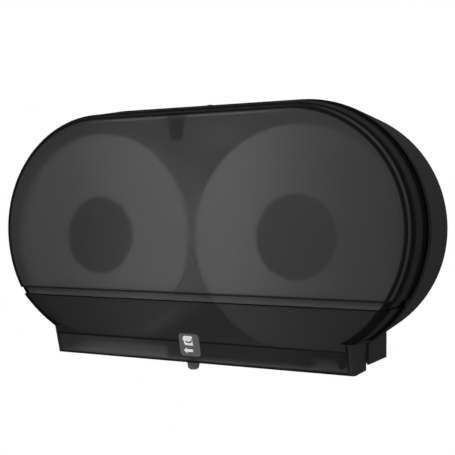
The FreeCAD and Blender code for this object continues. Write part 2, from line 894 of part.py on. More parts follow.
def latch_lever():
    """A plate from the pivot forward to a hook, with a tapered tongue hanging from it."""
    y0 = nib_y
    low = lever_under()
    high = low + lever_thickness
    plate = box(lever_left, lever_right, y0, pivot_y, low, high)
    nose = side_profile([(y0, high), (y0 + nib_thickness, high),
                         (y0 + nib_thickness, pivot_height + nib_height),
                         (y0 + nib_thickness / 2, pivot_height + nib_height)],
                        catch_centre - catch_width / 2, catch_centre + catch_width / 2)
    tongue = prism([at(tongue_left, y0, low), at(tongue_right, y0, low),
                    at(tongue_right - tongue_taper, y0, low - tongue_drop),
                    at(tongue_left + tongue_taper, y0, low - tongue_drop)],
                   at(0, lever_thickness, 0))
    body = plate.fuse([nose, tongue])
    window = box(spring_left - spring_pitch, lever_right - lever_knuckle_length / 2,
                 pivot_y - 2 * lever_knuckle_radius, pivot_y + overrun, low - overrun, high + overrun)
    body = body.cut(window)
    for x0, x1 in knuckles():
        body = body.fuse(rod_x(lever_knuckle_radius, x0, x1, pivot_y, pivot_height))
    bore = rod_x(latch_pin_radius + pin_gap, lever_left - overrun, lever_right + overrun,
                 pivot_y, pivot_height)
    return body.cut(bore).removeSplitter()


def knuckles():
    """The two barrels of the lever on its pin, with the spring between them."""
    left = (lever_left, spring_left - spring_pitch)
    right = (lever_right - lever_knuckle_length / 2, lever_right)
    return [left, right]


def latch_pin():
    x0 = bracket_left - latch_pin_overhang
    x1 = bracket_right + latch_pin_overhang
    return rod_x(latch_pin_radius, x0, x1, pivot_y, pivot_height)


def bracket_screw_places():
    middle = (bracket_left + bracket_right) / 2
    z = bracket_top - bracket_screw_drop
    return [(middle + side * bracket_screw_spacing / 2, z) for side in (-1, 1)]


bracket_seat_y = back_y - bracket_pad
bracket_face_y = bracket_seat_y - bracket_thickness


def lock_bracket():
    """A folded steel bracket with two arms that hold the latch pin."""
    plate = box(bracket_left, bracket_right, bracket_face_y, bracket_seat_y,
                bracket_bottom, bracket_top)
    arms = []
    for x0 in (bracket_left, bracket_right - bracket_thickness):
        low = pivot_height - bracket_arm_height / 2
        arm = box(x0, x0 + bracket_thickness, pivot_y, bracket_seat_y,
                  low, low + bracket_arm_height)
        end = rod_x(bracket_arm_height / 2, x0, x0 + bracket_thickness, pivot_y, pivot_height)
        arms.append(arm.fuse(end))
    body = plate.fuse(arms)
    body = body.cut(rod_x(latch_pin_radius + pin_gap / 2, bracket_left - overrun,
                          bracket_right + overrun, pivot_y, pivot_height))
    for x, z in bracket_screw_places():
        body = body.cut(moved(screw_hole(screw_bite + bracket_thickness), x, bracket_face_y, z))
    return body.removeSplitter()


def bracket_screws():
    one = screw(screw_bite + bracket_thickness)
    return Part.makeCompound([moved(one, x, bracket_face_y, z) for x, z in bracket_screw_places()])


def bracket_holes():
    hole = screw_hole(screw_bite + bracket_thickness)
    return [moved(hole, x, bracket_face_y, z) for x, z in bracket_screw_places()]


def latch_spring():
    """A torsion spring round the pin, with its two legs turned out to the front and rear."""

    def on_coil(turns):
        turn = 2 * math.pi * turns
        return at(spring_pitch * turns, spring_radius * math.sin(turn), -spring_radius * math.cos(turn))

    quarters = spring_turns * 4
    arcs = []
    for step in range(quarters):
        ends = [on_coil((step + part / 2) / 4) for part in range(3)]
        arcs.append(Part.Arc(*ends).toShape())
    start = on_coil(0)
    end = on_coil(spring_turns)
    front = Part.LineSegment(start - y_axis * spring_leg, start).toShape()
    rear = Part.LineSegment(end, end + y_axis * spring_leg).toShape()
    path = Part.Wire([front] + arcs + [rear])
    section = Part.Wire(Part.makeCircle(spring_wire_radius, start - y_axis * spring_leg, y_axis))
    coil = path.makePipeShell([section], True, False)
    return moved(coil, spring_left, pivot_y, pivot_height)


def clip_top():
    """Height of the clip's upper side, just under the sloping top wall."""
    return base_top(button_y + clip_radius) - base_wall - parting_gap


def release_button():
    """The button in the top of the rear shell, with a stem down to the lever."""
    top = base_top(button_y) + button_proud
    foot = lever_under() + lever_thickness + parting_gap
    low = top - button_body_length
    profile = [(0, foot), (button_stem_radius, foot), (button_stem_radius, low),
               (button_radius, low), (button_radius, clip_top() - clip_thickness),
               (button_radius - clip_groove, clip_top() - clip_thickness),
               (button_radius - clip_groove, clip_top()), (button_radius, clip_top()),
               (button_radius, top - button_round), (button_radius - button_round, top), (0, top)]
    return turned_z(profile, button_x, button_y)


def turned_z(profile, x, y):
    """A solid turned about an upright axis from a (radius, height) profile."""
    face = Part.Face(Part.makePolygon([at(r, 0, z) for r, z in profile + profile[:1]]))
    return moved(face.revolve(at(0, 0, 0), z_axis, 360), x, y, 0)


def button_clip():
    """A spring clip in the groove of the button, under the top wall."""
    inner = button_radius - clip_groove + screw_hole_gap
    low = clip_top() - clip_thickness
    ring = rod_z(clip_radius, low, clip_top(), button_x, button_y)
    ring = ring.cut(rod_z(inner, low - overrun, clip_top() + overrun, button_x, button_y))
    mouth = inner * math.cos(math.pi / 4)
    return ring.cut(box(button_x - mouth, button_x + mouth, button_y, button_y + clip_radius + overrun,
                        low - overrun, clip_top() + overrun))


nodes = {
    "rear_shell": rear_shell(),
    "left_spindle": spindle(-1),
    "right_spindle": spindle(1),
    "spindle_screws": spindle_screws(),
    "retaining_washers": retaining_washers(),
    "retaining_screws": retaining_screws(),
    "lock_bracket": lock_bracket(),
    "bracket_screws": bracket_screws(),
    "latch_pin": latch_pin(),
    "hinge_pins": hinge_pins(),
    "front_cover": front_cover(),
    "instruction_badge": instruction_badge(),
    "shutter": shutter(),
    "shutter_knob": shutter_knob(),
    "knob_screw": knob_screw(),
    "latch_lever": latch_lever(),
    "latch_spring": latch_spring(),
    "release_button": release_button(),
    "button_clip": button_clip(),
    "left_hub": hub(-1),
    "left_core": core(-1),
    "left_paper": paper(-1),
    "right_hub": hub(1),
    "right_core": core(1),
    "right_paper": paper(1),
}

for name, shape in nodes.items():
    shape.exportStep("parts/" + name + ".step")
    print(name, len(shape.Solids), round(shape.Volume), shape.isValid())
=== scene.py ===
import math
import bpy
import bmesh
from mathutils import Euler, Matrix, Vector


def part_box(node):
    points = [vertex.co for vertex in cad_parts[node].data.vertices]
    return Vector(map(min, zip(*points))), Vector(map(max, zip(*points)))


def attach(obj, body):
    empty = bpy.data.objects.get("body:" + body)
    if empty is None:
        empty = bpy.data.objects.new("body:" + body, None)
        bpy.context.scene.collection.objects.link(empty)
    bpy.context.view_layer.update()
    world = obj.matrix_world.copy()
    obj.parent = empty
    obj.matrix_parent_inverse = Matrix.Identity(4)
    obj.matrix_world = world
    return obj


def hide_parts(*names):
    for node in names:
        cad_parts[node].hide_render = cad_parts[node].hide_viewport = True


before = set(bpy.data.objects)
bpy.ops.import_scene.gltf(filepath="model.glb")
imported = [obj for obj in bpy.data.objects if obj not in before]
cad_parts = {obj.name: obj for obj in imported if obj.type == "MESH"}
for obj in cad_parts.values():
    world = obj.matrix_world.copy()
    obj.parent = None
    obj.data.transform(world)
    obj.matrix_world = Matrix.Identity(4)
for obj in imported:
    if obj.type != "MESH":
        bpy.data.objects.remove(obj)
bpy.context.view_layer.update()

# Places and sizes are in metres, but those of the lens and of the badge are in millimetres
MM = 0.001
X_AXIS = 0
Z_AXIS = 2

# Camera at the photograph's viewing angle, turned by degrees about X, Y and Z
CAMERA_PLACE = (0.4299, -0.9041, 0.0109)
CAMERA_TURN = (89.4, 0.0, 26.1)
FOCAL_LENGTH = 66.49
SENSOR_WIDTH = 36.0
NEAREST = 0.01

# Lamps: name, place, target, size, and power in watts
LAMPS = (
    ("key_lamp", (-1.1, -1.7, 1.5), (0, -0.1, 0), 1.2, 30),
    ("top_lamp", (0.3, -0.3, 1.6), (0, -0.1, 0), 1.0, 12),
    ("side_lamp", (1.8, -0.6, 0.6), (0.2, -0.1, 0), 0.7, 4),
)

# Strength of the world, as it lights the object and as it is seen
SOFT_LIGHT = 0.4
WHITE_BACKGROUND = 1.0

# Floor, well below the dispenser
FLOOR_HALF = 1.6
FLOOR_HEIGHT = -0.9
FLOOR_DARK = (0.84, 0.84, 0.84)
FLOOR_LIGHT = (0.88, 0.88, 0.88)
FLOOR_CLOUDS = 3.0
FLOOR_ROUGHNESS = 0.8

# Moulded plastics: dark and light tone, roughness, and the nodes made of each
PLASTICS = {
    "black_plastic": ((0.02, 0.02, 0.021), (0.027, 0.027, 0.028), 0.45,
                      ("rear_shell", "shutter", "release_button")),
    "latch_plastic": ((0.006, 0.006, 0.006), (0.009, 0.009, 0.009), 0.45, ("latch_lever",)),
    "hub_plastic": ((0.03, 0.03, 0.032), (0.042, 0.042, 0.044), 0.5,
                    ("left_hub", "right_hub", "left_spindle", "right_spindle")),
    "knob_plastic": ((0.12, 0.12, 0.122), (0.15, 0.15, 0.152), 0.38, ("shutter_knob",)),
    "badge_plastic": ((0.12, 0.12, 0.122), (0.135, 0.135, 0.137), 0.45, ("instruction_badge",)),
}
PLASTIC_GLOSS = 0.009

# Moulded plastics: scale and detail of their clouds of tone and of wear, and their fine grain
FLOW_CLOUDS = (18.0, 4.0)
WEAR_CLOUDS = (60.0, 6.0)
WEAR_REACH = (0.3, 0.7)
WEAR_SMOOTHER = 0.05
WEAR_ROUGHER = 0.07
GRAIN = 2600.0
GRAIN_DEPTH = 0.04 * MM
GRAIN_STRENGTH = 0.5

# Steels: dark and light tone, and the nodes made of each
STEELS = {
    "zinc_steel": ((0.42, 0.43, 0.45), (0.66, 0.66, 0.65),
                   ("spindle_screws", "lock_bracket", "bracket_screws", "latch_pin",
                    "latch_spring", "hinge_pins", "knob_screw", "button_clip")),
    "black_steel": ((0.03, 0.03, 0.032), (0.06, 0.06, 0.062),
                    ("retaining_washers", "retaining_screws")),
}
STEEL_ROUGHNESS = 0.32
STEEL_ROUGHNESS_RANGE = (0.22, 0.42)
SCRATCHES = (900.0, 5.0)
SCRATCH_DEPTH = 0.03 * MM
SCRATCH_STRENGTH = 0.4

# Wound rolls: kind, node, dark and light tone, half a ring's width, and the rings' relief
WOUND_ROLLS = (
    ("tissue", "paper", (0.72, 0.71, 0.69), (0.88, 0.875, 0.86), 0.9 * MM, 0.25 * MM),
    ("board", "core", (0.36, 0.26, 0.17), (0.5, 0.38, 0.26), 0.3 * MM, 0.1 * MM),
)
PAPER_ROUGHNESS = 0.9
PAPER_SPECULAR = 0.2
CREPE = (700.0, 5.0)
RING_REACH = (0.3, 1.6)
RING_STRENGTH = 0.6

# Ink of the badge's symbols
INK_TONE = (0.93, 0.93, 0.93)
INK_DARK = (0.86, 0.86, 0.86)
INK_LIGHT = (0.96, 0.96, 0.96)
INK_FILM = (500.0, 3.0)
INK_ROUGHNESS = 0.5

# Smoke cover, from hem to face: where each zone starts, how milky it is with painted light and
# shade, and its skin's share
APRON_TOP = -0.1224
FACE_BOTTOM = -0.0668
# Painted shade: dark lines along the hem, the crease and the groove's lips, and a darker lower
# panel
COVER_ZONES = (
    # Painted light: a lighter groove and a lighter lower band of the apron
    (-0.1500, 0.005, 0.90),         # line along the hem
    (-0.1418, 0.084, 0.78),         # lower band of the apron
    (-0.1360, 0.066, 0.78),         # apron
    (APRON_TOP, 0.012, 0.80),       # crease
    (-0.1207, 0.045, 0.52),         # lower panel
    (-0.0779, 0.012, 0.80),         # line below the groove
    (-0.0765, 0.185, 0.50),         # groove
    (-0.0692, 0.014, 0.78),         # line above the groove
    (FACE_BOTTOM, 0.104, 0.40),     # face
)
ZONES_TOP = 0.15
START_COLUMN = 0
VEIL_LIGHT_AND_SHADE_COLUMN = 1
SKIN_COLUMN = 2

# Smoke cover: how milky and how clear it is along its width, as places and levels
# They hold painted shade, which dims the veil and the clearness towards the ends, and a painted
# highlight on the apron's left
VEIL_AND_SHADE_ALONG = ((-0.25, 1.0), (-0.2, 0.9), (-0.145, 0.74), (-0.115, 0.9), (-0.06, 1.0),
              (0.03, 0.98), (0.12, 0.98), (0.2, 0.96), (0.222, 0.9), (0.23, 0.75), (0.25, 0.7))
APRON_VEIL_AND_HIGHLIGHT_ALONG = ((-0.25, 0.6), (-0.16, 0.65), (-0.135, 0.85), (-0.105, 1.0), (-0.06, 0.85),
               (-0.035, 0.72), (-0.01, 0.5), (0.09, 0.5), (0.13, 0.38), (0.15, 0.2), (0.25, 0.2))
CLEARNESS_AND_SHADE_ALONG = ((-0.25, 0.78), (-0.18, 0.79), (-0.136, 0.83), (-0.07, 0.89), (-0.02, 0.915),
               (0.02, 0.935), (0.055, 0.945), (0.09, 0.87), (0.12, 0.79), (0.15, 0.69),
               (0.18, 0.6), (0.25, 0.5))

# Smoke cover: greys of its rounded edge and side walls, from the face to the rear
# A painted reflection band across the middle of the side walls, and painted shade towards the rear
# gap
EDGE_REFLECTION_AND_SHADE_ALONG = ((-0.129, 0.005), (-0.119, 0.004), (-0.108, 0.02), (-0.098, 0.019),
              (-0.088, 0.002), (-0.05, 0.0005))

# Smoke cover: tint of all these greys
COOL_GREY = (0.985, 0.988, 1.0)

# Smoke cover: its milky surface, with the scale and detail of its clouds
SKIN_TONE = (0.05, 0.05, 0.052)
SKIN_ROUGHNESS = 0.36
SKIN_GLOSS = 0.006
SKIN_CLOUDS = (9.0, 3.0)
SKIN_CLOUD_DARK = (0.9, 0.9, 0.9)
SKIN_CLOUD_LIGHT = (1.08, 1.08, 1.08)
SKIN_GRAIN = 2200.0
SKIN_GRAIN_DEPTH = 0.03 * MM
SKIN_GRAIN_STRENGTH = 0.35

# Smoke cover: haze of what shows through
HAZE_ROUGHNESS = 0.45
HAZE_IOR = 1.4

# Smoke cover: its dark edge, and how far a face turns away before it is as dark
EDGE_TONE = (0.003, 0.003, 0.0032)
EDGE_ROUGHNESS = 0.3
EDGE_GLOSS = 0.003
EDGE_GLOSS_ROUGHNESS = 0.22
TURNED_BLEND = 0.5
TURNED_REACH = (0.16, 0.5)

# Border of the cover's face: the round ends' middles, and where its dark edge starts and is full
UPPER_MIDDLE = 0.1132
UPPER_BORDER = (0.1197, 0.1215)
LOWER_MIDDLE = 0.1058
LOWER_BORDER = (0.1270, 0.1290)
CHUTE_TOP = -0.112
CHUTE_BORDER = (0.1722, 0.1738)

# The round ends' border starts this much further in on the right
RIGHT_SHIFT = 0.0005

# Painted highlight: a light line inside the border of the upper half, which fades out to the sides
RIM_HIGHLIGHT = 0.1187
RIM_HIGHLIGHT_HALF = 0.001
RIM_HIGHLIGHT_LIFT = 0.9
RIM_HIGHLIGHT_ENDS = (0.085, 0.13)

# Side walls of the chute: where they start, and the painted light that greys them lighter than the
# rest of the dark edge
CHUTE_WALL_START = 0.1752
CHUTE_WALL_PAINTED_LIGHT = (0.03, 0.03, 0.031)

# Painted highlight: a thin light line on the cover's rounded edge, which fades in to the sides
EDGE_HIGHLIGHT = -0.1277
EDGE_HIGHLIGHT_HALF = 0.0009
EDGE_HIGHLIGHT_ENDS = (0.14, 0.2)
EDGE_HIGHLIGHT_GREY = (0.034, 0.034, 0.035)

# Painted shadow of the latch lever's tongue on the cover's milky veil, where the tongue stands
# close behind the cover
TONGUE_MIDDLE = -0.0102
TONGUE_HEIGHTS = (0.0942, 0.1197)
TONGUE_HALVES = (0.0066, 0.0117)
TONGUE_SOFTNESS = 0.0016
TONGUE_SHADE = 0.44

# Planes where the sections of the cover meet: the middles of the rolls and their lowest point
ROLL_ASIDE = 0.1188
ROLL_MIDDLE = -0.0076
ROLL_BOTTOM = -0.1219
COVER_JOINS = ((X_AXIS, -ROLL_ASIDE), (X_AXIS, ROLL_ASIDE), (Z_AXIS, ROLL_MIDDLE),
               (Z_AXIS, ROLL_BOTTOM))
JOIN_REACH = 0.002 * MM
WELD_REACH = 0.01 * MM

# Badge, in millimetres: half its plate's thickness, and how far the ink stands out and goes in
APRON_LEAN = math.radians(15.6)
PLATE_HALF = 0.4
INK_HEIGHT = 0.15
INK_DEPTH = 0.05

# Arrow on the badge, in millimetres right and up from the middle of the plate
ARROW_TIP = -7.6
ARROW_NECK = -4.0
ARROW_END = 2.0
ARROW_END_ROUND = 1.7
ARROW_MIDDLE = -6.6
ARROW_HEAD_HALF = 3.6
ARROW_SHAFT_HALF = 1.6

# Arcs on the badge: centre, half width, half height, and first and last angle in degrees
ARC_STEPS = 12
ROLL_LEFT_END = (-4.6, 6.9, 2.7, 3.4, 250, 90)
ROLL_RIGHT_END = (2.6, 6.9, 2.3, 3.4, 90, 30)
ROLL_UNDERSIDE = (-0.6, 6.0, 3.4, 2.2, 0, -150)
SHEET_CURL = (-0.6, 5.2, 4.4, 3.4, -10, -165)

# Corners of the loose sheet on the badge
SHEET_TOP = (4.2, 7.0)
SHEET_CORNERS = ((-6.6, 2.4), (-5.0, -0.4), (4.8, -0.6), (4.2, 1.0))


def add_node(tree, kind, **settings):
    """A shader node with its settings."""
    node = tree.nodes.new("ShaderNode" + kind)
    for name, value in settings.items():
        setattr(node, name, value)
    return node


def link(tree, source, target):
    """Joins an output to an input."""
    tree.links.new(source, target)


def new_material(name):
    """A material with an empty node tree, and its output node."""
    material = bpy.data.materials.new(name)
    material.use_nodes = True
    tree = material.node_tree
    tree.nodes.clear()
    return material, tree, add_node(tree, "OutputMaterial")


def place_object(name, data):
    """A new object in the scene."""
    placed = bpy.data.objects.new(name, data)
    bpy.context.collection.objects.link(placed)
    return placed


def principled(tree, color, roughness, metallic=0.0, specular=0.5):
    """The main shader, with a plain colour to start from."""
    shader = add_node(tree, "BsdfPrincipled")
    shader.inputs["Base Color"].default_value = (*color, 1)
    shader.inputs["Roughness"].default_value = roughness
    shader.inputs["Metallic"].default_value = metallic
    shader.inputs["Specular IOR Level"].default_value = specular
    return shader


def noise(tree, scale, detail=2.0):
    """Noise over the object's own coordinates."""
    coords = add_node(tree, "TexCoord")
    texture = add_node(tree, "TexNoise")
    texture.inputs["Scale"].default_value = scale
    texture.inputs["Detail"].default_value = detail
    link(tree, coords.outputs["Object"], texture.inputs["Vector"])
    return texture.outputs["Fac"]


def ramp(tree, source, low, high, start=0.0, end=1.0):
    """Goes from low to high while the source goes from start to end."""
    node = add_node(tree, "MapRange")
    node.inputs["From Min"].default_value = start
    node.inputs["From Max"].default_value = end
    node.inputs["To Min"].default_value = low
    node.inputs["To Max"].default_value = high
    link(tree, source, node.inputs["Value"])
    return node.outputs["Result"]


def calculate(tree, operation, *values):
    """A Math node on sockets or plain numbers."""
    node = add_node(tree, "Math", operation=operation)
    for socket, value in zip(node.inputs, values):
        if isinstance(value, (int, float)):
            socket.default_value = value
        else:
            link(tree, value, socket)
    return node.outputs["Value"]


def either(tree, choice, first, second):
    """The first colour where the choice is zero, the second where it is one."""
    node = add_node(tree, "Mix", data_type="RGBA")
    link(tree, choice, node.inputs["Factor"])
    for socket, colour in (("A", first), ("B", second)):
        if isinstance(colour, tuple):
            node.inputs[socket].default_value = (*colour, 1)
        else:
            link(tree, colour, node.inputs[socket])
    return node.outputs["Result"]


def times(tree, first, second):
    """Two colours multiplied."""
    node = add_node(tree, "Mix", data_type="RGBA", blend_type="MULTIPLY")
    node.inputs["Factor"].default_value = 1.0
    link(tree, first, node.inputs["A"])
    link(tree, second, node.inputs["B"])
    return node.outputs["Result"]


def mix_shaders(tree, share, first, second):
    """Two shaders, with the second one's share as a socket or a plain number."""
    both = add_node(tree, "MixShader")
    if isinstance(share, float):
        both.inputs["Fac"].default_value = share
    else:
        link(tree, share, both.inputs["Fac"])
    link(tree, first, both.inputs[1])
    link(tree, second, both.inputs[2])
    return both.outputs["Shader"]


def bump(tree, shader, height, distance, strength):
    """Relief on a shader."""
    node = add_node(tree, "Bump")
    node.inputs["Distance"].default_value = distance
    node.inputs["Strength"].default_value = strength
    link(tree, height, node.inputs["Height"])
    link(tree, node.outputs["Normal"], shader.inputs["Normal"])


def glossed(tree, shader, share, roughness):
    """A faint even gloss over a matt shader."""
    gloss = add_node(tree, "BsdfGlossy")
    gloss.inputs["Roughness"].default_value = roughness
    return mix_shaders(tree, share, shader.outputs["BSDF"], gloss.outputs["BSDF"])


def moulded_plastic(name, dark, light, roughness):
    """Injection-moulded plastic with a fine spark-eroded grain and faint flow clouds."""
    material, tree, output = new_material(name)
    shader = principled(tree, dark, roughness, specular=0.0)
    clouds = noise(tree, *FLOW_CLOUDS)
    link(tree, either(tree, clouds, dark, light), shader.inputs["Base Color"])
    smoothest, roughest = roughness - WEAR_SMOOTHER, roughness + WEAR_ROUGHER
    wear = ramp(tree, noise(tree, *WEAR_CLOUDS), smoothest, roughest, *WEAR_REACH)
    link(tree, wear, shader.inputs["Roughness"])
    bump(tree, shader, noise(tree, GRAIN), GRAIN_DEPTH, GRAIN_STRENGTH)
    link(tree, glossed(tree, shader, PLASTIC_GLOSS, roughness), output.inputs["Surface"])
    return material


def steel(name, dark, light):
    """Plated steel with fine scratches."""
    material, tree, output = new_material(name)
    shader = principled(tree, light, STEEL_ROUGHNESS, metallic=1.0)
    scratches = noise(tree, *SCRATCHES)
    link(tree, either(tree, scratches, dark, light), shader.inputs["Base Color"])
    link(tree, ramp(tree, scratches, *STEEL_ROUGHNESS_RANGE), shader.inputs["Roughness"])
    bump(tree, shader, scratches, SCRATCH_DEPTH, SCRATCH_STRENGTH)
    link(tree, shader.outputs["BSDF"], output.inputs["Surface"])
    return material


def rings_about(tree, centre, half_ring):
    """Rings round an axis along Y, for wound paper and board."""
    coords = add_node(tree, "TexCoord")
    shift = add_node(tree, "VectorMath", operation="SUBTRACT")
    shift.inputs[1].default_value = centre
    link(tree, coords.outputs["Object"], shift.inputs[0])
    flat = add_node(tree, "VectorMath", operation="MULTIPLY")
    flat.inputs[1].default_value = (1, 0, 1)
    link(tree, shift.outputs["Vector"], flat.inputs[0])
    radius = add_node(tree, "VectorMath", operation="LENGTH")
    link(tree, flat.outputs["Vector"], radius.inputs[0])
    turns = calculate(tree, "DIVIDE", radius.outputs["Value"], half_ring)
    return calculate(tree, "PINGPONG", turns, 1.0)


def wound_paper(name, centre, dark, light, half_ring, relief):
    """Layers wound on a roll, seen as rings on its sides and soft crepe elsewhere."""
    material, tree, output = new_material(name)
    shader = principled(tree, light, PAPER_ROUGHNESS, specular=PAPER_SPECULAR)
    layers = calculate(tree, "ADD", rings_about(tree, centre, half_ring), noise(tree, *CREPE))
    shade = ramp(tree, layers, 0, 1, *RING_REACH)
    link(tree, either(tree, shade, dark, light), shader.inputs["Base Color"])
    bump(tree, shader, layers, relief, RING_STRENGTH)
    link(tree, shader.outputs["BSDF"], output.inputs["Surface"])
    return material


def white_ink():
    """White printed ink with a slightly uneven film."""
    material, tree, output = new_material("white_ink")
    shader = principled(tree, INK_TONE, INK_ROUGHNESS)
    film = noise(tree, *INK_FILM)
    link(tree, either(tree, film, INK_DARK, INK_LIGHT), shader.inputs["Base Color"])
    link(tree, shader.outputs["BSDF"], output.inputs["Surface"])
    return material


def place_of(tree):
    """The object's own coordinates, as separate sockets."""
    coords = add_node(tree, "TexCoord")
    split = add_node(tree, "SeparateXYZ")
    link(tree, coords.outputs["Object"], split.inputs["Vector"])
    return split.outputs


def along(tree, axis, stops, interpolation="B_SPLINE"):
    """A grey that changes along an axis, from its places and levels."""
    low, high = stops[0][0], stops[-1][0]
    curve = add_node(tree, "ValToRGB")
    curve.color_ramp.interpolation = interpolation
    marks = curve.color_ramp.elements
    while len(marks) < len(stops):
        marks.new(1)
    for mark, (place, level) in zip(marks, stops):
        mark.position = (place - low) / (high - low)
        mark.color = (*(level * share for share in COOL_GREY), 1)
    link(tree, ramp(tree, place_of(tree)[axis], 0, 1, low, high), curve.inputs["Fac"])
    return curve.outputs["Color"]


def by_height(tree, column):
    """One column of the cover's zones, as a grey that changes with height."""
    stops = [(zone[START_COLUMN], zone[column]) for zone in COVER_ZONES]
    top = (ZONES_TOP, stops[-1][1])
    return along(tree, "Z", [*stops, top], "CONSTANT")


def outward_of(tree):
    """Distance from the cover's middle plane, to either side."""
    return calculate(tree, "ABSOLUTE", place_of(tree)["X"])


def round_end_reach(tree, middle):
    """Distance from the middles of the cover's round ends, or from the line between them."""
    place = place_of(tree)
    aside = calculate(tree, "MAXIMUM", calculate(tree, "ADD", place["X"], RIGHT_SHIFT),
                      calculate(tree, "MULTIPLY", place["X"], -1.0))
    beyond = calculate(tree, "MAXIMUM", calculate(tree, "SUBTRACT", aside, middle), 0.0)
    squares = calculate(tree, "ADD", calculate(tree, "POWER", beyond, 2.0),
                        calculate(tree, "MULTIPLY", place["Z"], place["Z"]))
    return calculate(tree, "SQRT", squares)


def border_mask(tree):
    """One on the cover's dark border and sides, zero on its face."""
    height = place_of(tree)["Z"]
    above = calculate(tree, "GREATER_THAN", height, 0.0)
    chute = calculate(tree, "LESS_THAN", height, CHUTE_TOP)
    between = calculate(tree, "SUBTRACT", calculate(tree, "SUBTRACT", 1.0, above), chute)
    zones = ((above, round_end_reach(tree, UPPER_MIDDLE), UPPER_BORDER),
             (between, round_end_reach(tree, LOWER_MIDDLE), LOWER_BORDER),
             (chute, outward_of(tree), CHUTE_BORDER))
    border = 0.0
    for zone, reach, edge in zones:
        part = calculate(tree, "MULTIPLY", zone, ramp(tree, reach, 0, 1, *edge))
        border = calculate(tree, "ADD", part, border)
    return border


def rim_highlight_mask(tree):
    """One along the painted highlight inside the border of the cover's upper half."""
    above = calculate(tree, "GREATER_THAN", place_of(tree)["Z"], 0.0)
    line = calculate(tree, "COMPARE", round_end_reach(tree, UPPER_MIDDLE), RIM_HIGHLIGHT, RIM_HIGHLIGHT_HALF)
    fade = ramp(tree, outward_of(tree), 1, 0, *RIM_HIGHLIGHT_ENDS)
    return calculate(tree, "MULTIPLY", calculate(tree, "MULTIPLY", above, line), fade)


def chute_wall_mask(tree):
    """One on the side walls of the cover's chute."""
    chute = calculate(tree, "LESS_THAN", place_of(tree)["Z"], CHUTE_TOP)
    wall = calculate(tree, "GREATER_THAN", outward_of(tree), CHUTE_WALL_START)
    return calculate(tree, "MULTIPLY", chute, wall)


def edge_highlight_mask(tree):
    """One along the painted highlight on the cover's rounded edge, above the groove."""
    place = place_of(tree)
    line = calculate(tree, "COMPARE", place["Y"], EDGE_HIGHLIGHT, EDGE_HIGHLIGHT_HALF)
    fade = ramp(tree, outward_of(tree), 0, 1, *EDGE_HIGHLIGHT_ENDS)
    above = calculate(tree, "GREATER_THAN", place["Z"], FACE_BOTTOM)
    return calculate(tree, "MULTIPLY", calculate(tree, "MULTIPLY", line, fade), above)


def tongue_shadow_mask(tree):
    """One on the painted shadow of the latch lever's tapered tongue behind the cover, zero
    elsewhere.
    """
    place = place_of(tree)
    aside = calculate(tree, "ABSOLUTE", calculate(tree, "SUBTRACT", place["X"], TONGUE_MIDDLE))
    half = ramp(tree, place["Z"], *TONGUE_HALVES, *TONGUE_HEIGHTS)
    within = ramp(tree, calculate(tree, "SUBTRACT", aside, half), 1, 0,
                  -TONGUE_SOFTNESS, TONGUE_SOFTNESS)
    tip = TONGUE_HEIGHTS[0]
    over_tip = ramp(tree, place["Z"], 0, 1, tip - TONGUE_SOFTNESS, tip + TONGUE_SOFTNESS)
    return calculate(tree, "MULTIPLY", within, over_tip)


def milky_skin(tree):
    """The cover's milky surface, which hides part of what is behind it, with painted light and
    shade in its milky grey.
    """
    skin = principled(tree, SKIN_TONE, SKIN_ROUGHNESS, specular=0.0)
    apron = calculate(tree, "LESS_THAN", place_of(tree)["Z"], APRON_TOP)
    # Painted shade and a painted highlight across the width
    across = either(tree, apron, along(tree, "X", VEIL_AND_SHADE_ALONG), along(tree, "X", APRON_VEIL_AND_HIGHLIGHT_ALONG))
    clouds = either(tree, noise(tree, *SKIN_CLOUDS), SKIN_CLOUD_DARK, SKIN_CLOUD_LIGHT)
    veil = times(tree, by_height(tree, VEIL_LIGHT_AND_SHADE_COLUMN), across)
    veil = times(tree, veil, clouds)
    # Painted highlight inside the upper border
    veil = times(tree, veil, ramp(tree, rim_highlight_mask(tree), 1, 1 + RIM_HIGHLIGHT_LIFT))
    # Painted shadow of the latch lever's tongue
    veil = times(tree, veil, ramp(tree, tongue_shadow_mask(tree), 1, 1 - TONGUE_SHADE))
    link(tree, veil, skin.inputs["Base Color"])
    bump(tree, skin, noise(tree, SKIN_GRAIN), SKIN_GRAIN_DEPTH, SKIN_GRAIN_STRENGTH)
    return glossed(tree, skin, SKIN_GLOSS, SKIN_ROUGHNESS)


def hazy_clearness(tree):
    """What shows through the cover, blurred and dimmed towards the ends by painted shade, while
    light from the lamps passes straight.
    """
    haze = add_node(tree, "BsdfRefraction")
    link(tree, along(tree, "X", CLEARNESS_AND_SHADE_ALONG), haze.inputs["Color"])
    haze.inputs["Roughness"].default_value = HAZE_ROUGHNESS
    haze.inputs["IOR"].default_value = HAZE_IOR
    clear = add_node(tree, "BsdfTransparent")
    link(tree, along(tree, "X", CLEARNESS_AND_SHADE_ALONG), clear.inputs["Color"])
    path = add_node(tree, "LightPath")
    return mix_shaders(tree, path.outputs["Is Shadow Ray"], haze.outputs["BSDF"],
                       clear.outputs["BSDF"])


def dark_edge(tree):
    """The cover's rounded edge and side walls, where the smoke plastic looks nearly black but for
    painted reflection, light and highlight.
    """
    edge = principled(tree, EDGE_TONE, EDGE_ROUGHNESS, specular=0.0)
    # Painted reflection band and painted shade along the side walls
    side = along(tree, "Y", EDGE_REFLECTION_AND_SHADE_ALONG, "EASE")
    # Painted light on the chute's side walls
    side = either(tree, chute_wall_mask(tree), side, CHUTE_WALL_PAINTED_LIGHT)
    # Painted highlight on the rounded edge
    side = either(tree, edge_highlight_mask(tree), side, EDGE_HIGHLIGHT_GREY)
    link(tree, side, edge.inputs["Base Color"])
    return glossed(tree, edge, EDGE_GLOSS, EDGE_GLOSS_ROUGHNESS)


